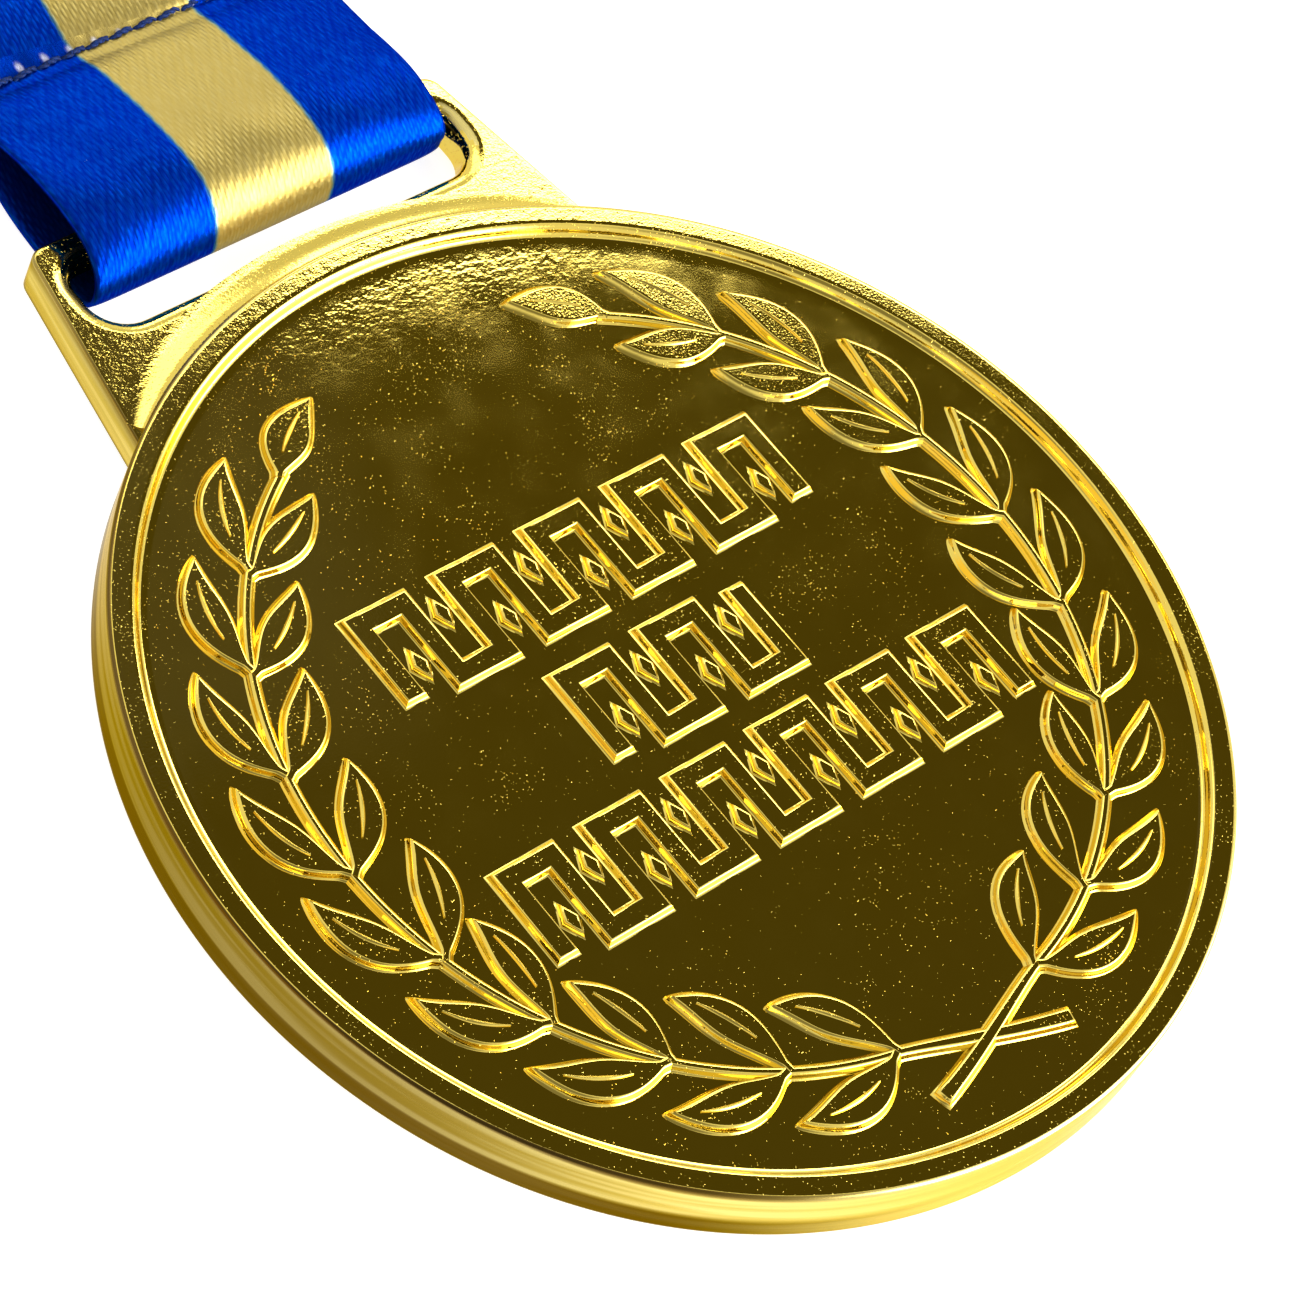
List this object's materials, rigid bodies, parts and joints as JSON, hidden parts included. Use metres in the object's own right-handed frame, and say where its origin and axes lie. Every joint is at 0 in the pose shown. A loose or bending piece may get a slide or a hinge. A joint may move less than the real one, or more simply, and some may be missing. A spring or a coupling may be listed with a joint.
{
  "type": "neck ribbon award medal",
  "caption": "Round gold-plated cast award medal with raised rim and laurel relief, a slotted hanger plate, and a striped satin neck ribbon looped through the slot.",
  "frame": {"origin": "centre of the disc's flat back, on the surface that the medal lies on", "axes": "+Z out of the medal's face, +Y from the disc through the hanger to the ribbon, +X to the right seen from the face with the hanger at the top"},
  "size_m": [0.063, 0.1655, 0.009],
  "materials": {
    "gold_plate": "polished gold plate on a zinc casting, satin brushed on the edge wall",
    "ribbon_satin": "woven satin in three equal stripes, royal blue, old gold and royal blue",
    "navy_thread": "twisted polyester sewing thread",
    "paper_band": "uncoated paper belly band, matt"
  },
  "bodies": {
    "medal": {"medal_casting": "gold_plate"},
    "loop": {"ribbon_loop": "ribbon_satin", "seam_needle_thread": "navy_thread", "seam_bobbin_thread": "navy_thread"},
    "neck_ribbon": {"neck_ribbon_front_arm": "ribbon_satin", "neck_ribbon_back_arm": "ribbon_satin", "neck_ribbon_hank": "ribbon_satin", "ribbon_tie": "paper_band"}
  },
  "joints": [
    {"name": "ribbon_swing", "type": "hinge", "parent": "medal", "child": "loop", "pos_m": [0, 0.03887, 0.00175], "axis": [1, 0, 0], "range_deg": [0, 110]},
    {"name": "neck_fold", "type": "hinge", "parent": "loop", "child": "neck_ribbon", "pos_m": [0, 0.0505, 0.0026], "axis": [1, 0, 0], "range_deg": [0, 65]}
  ]
}
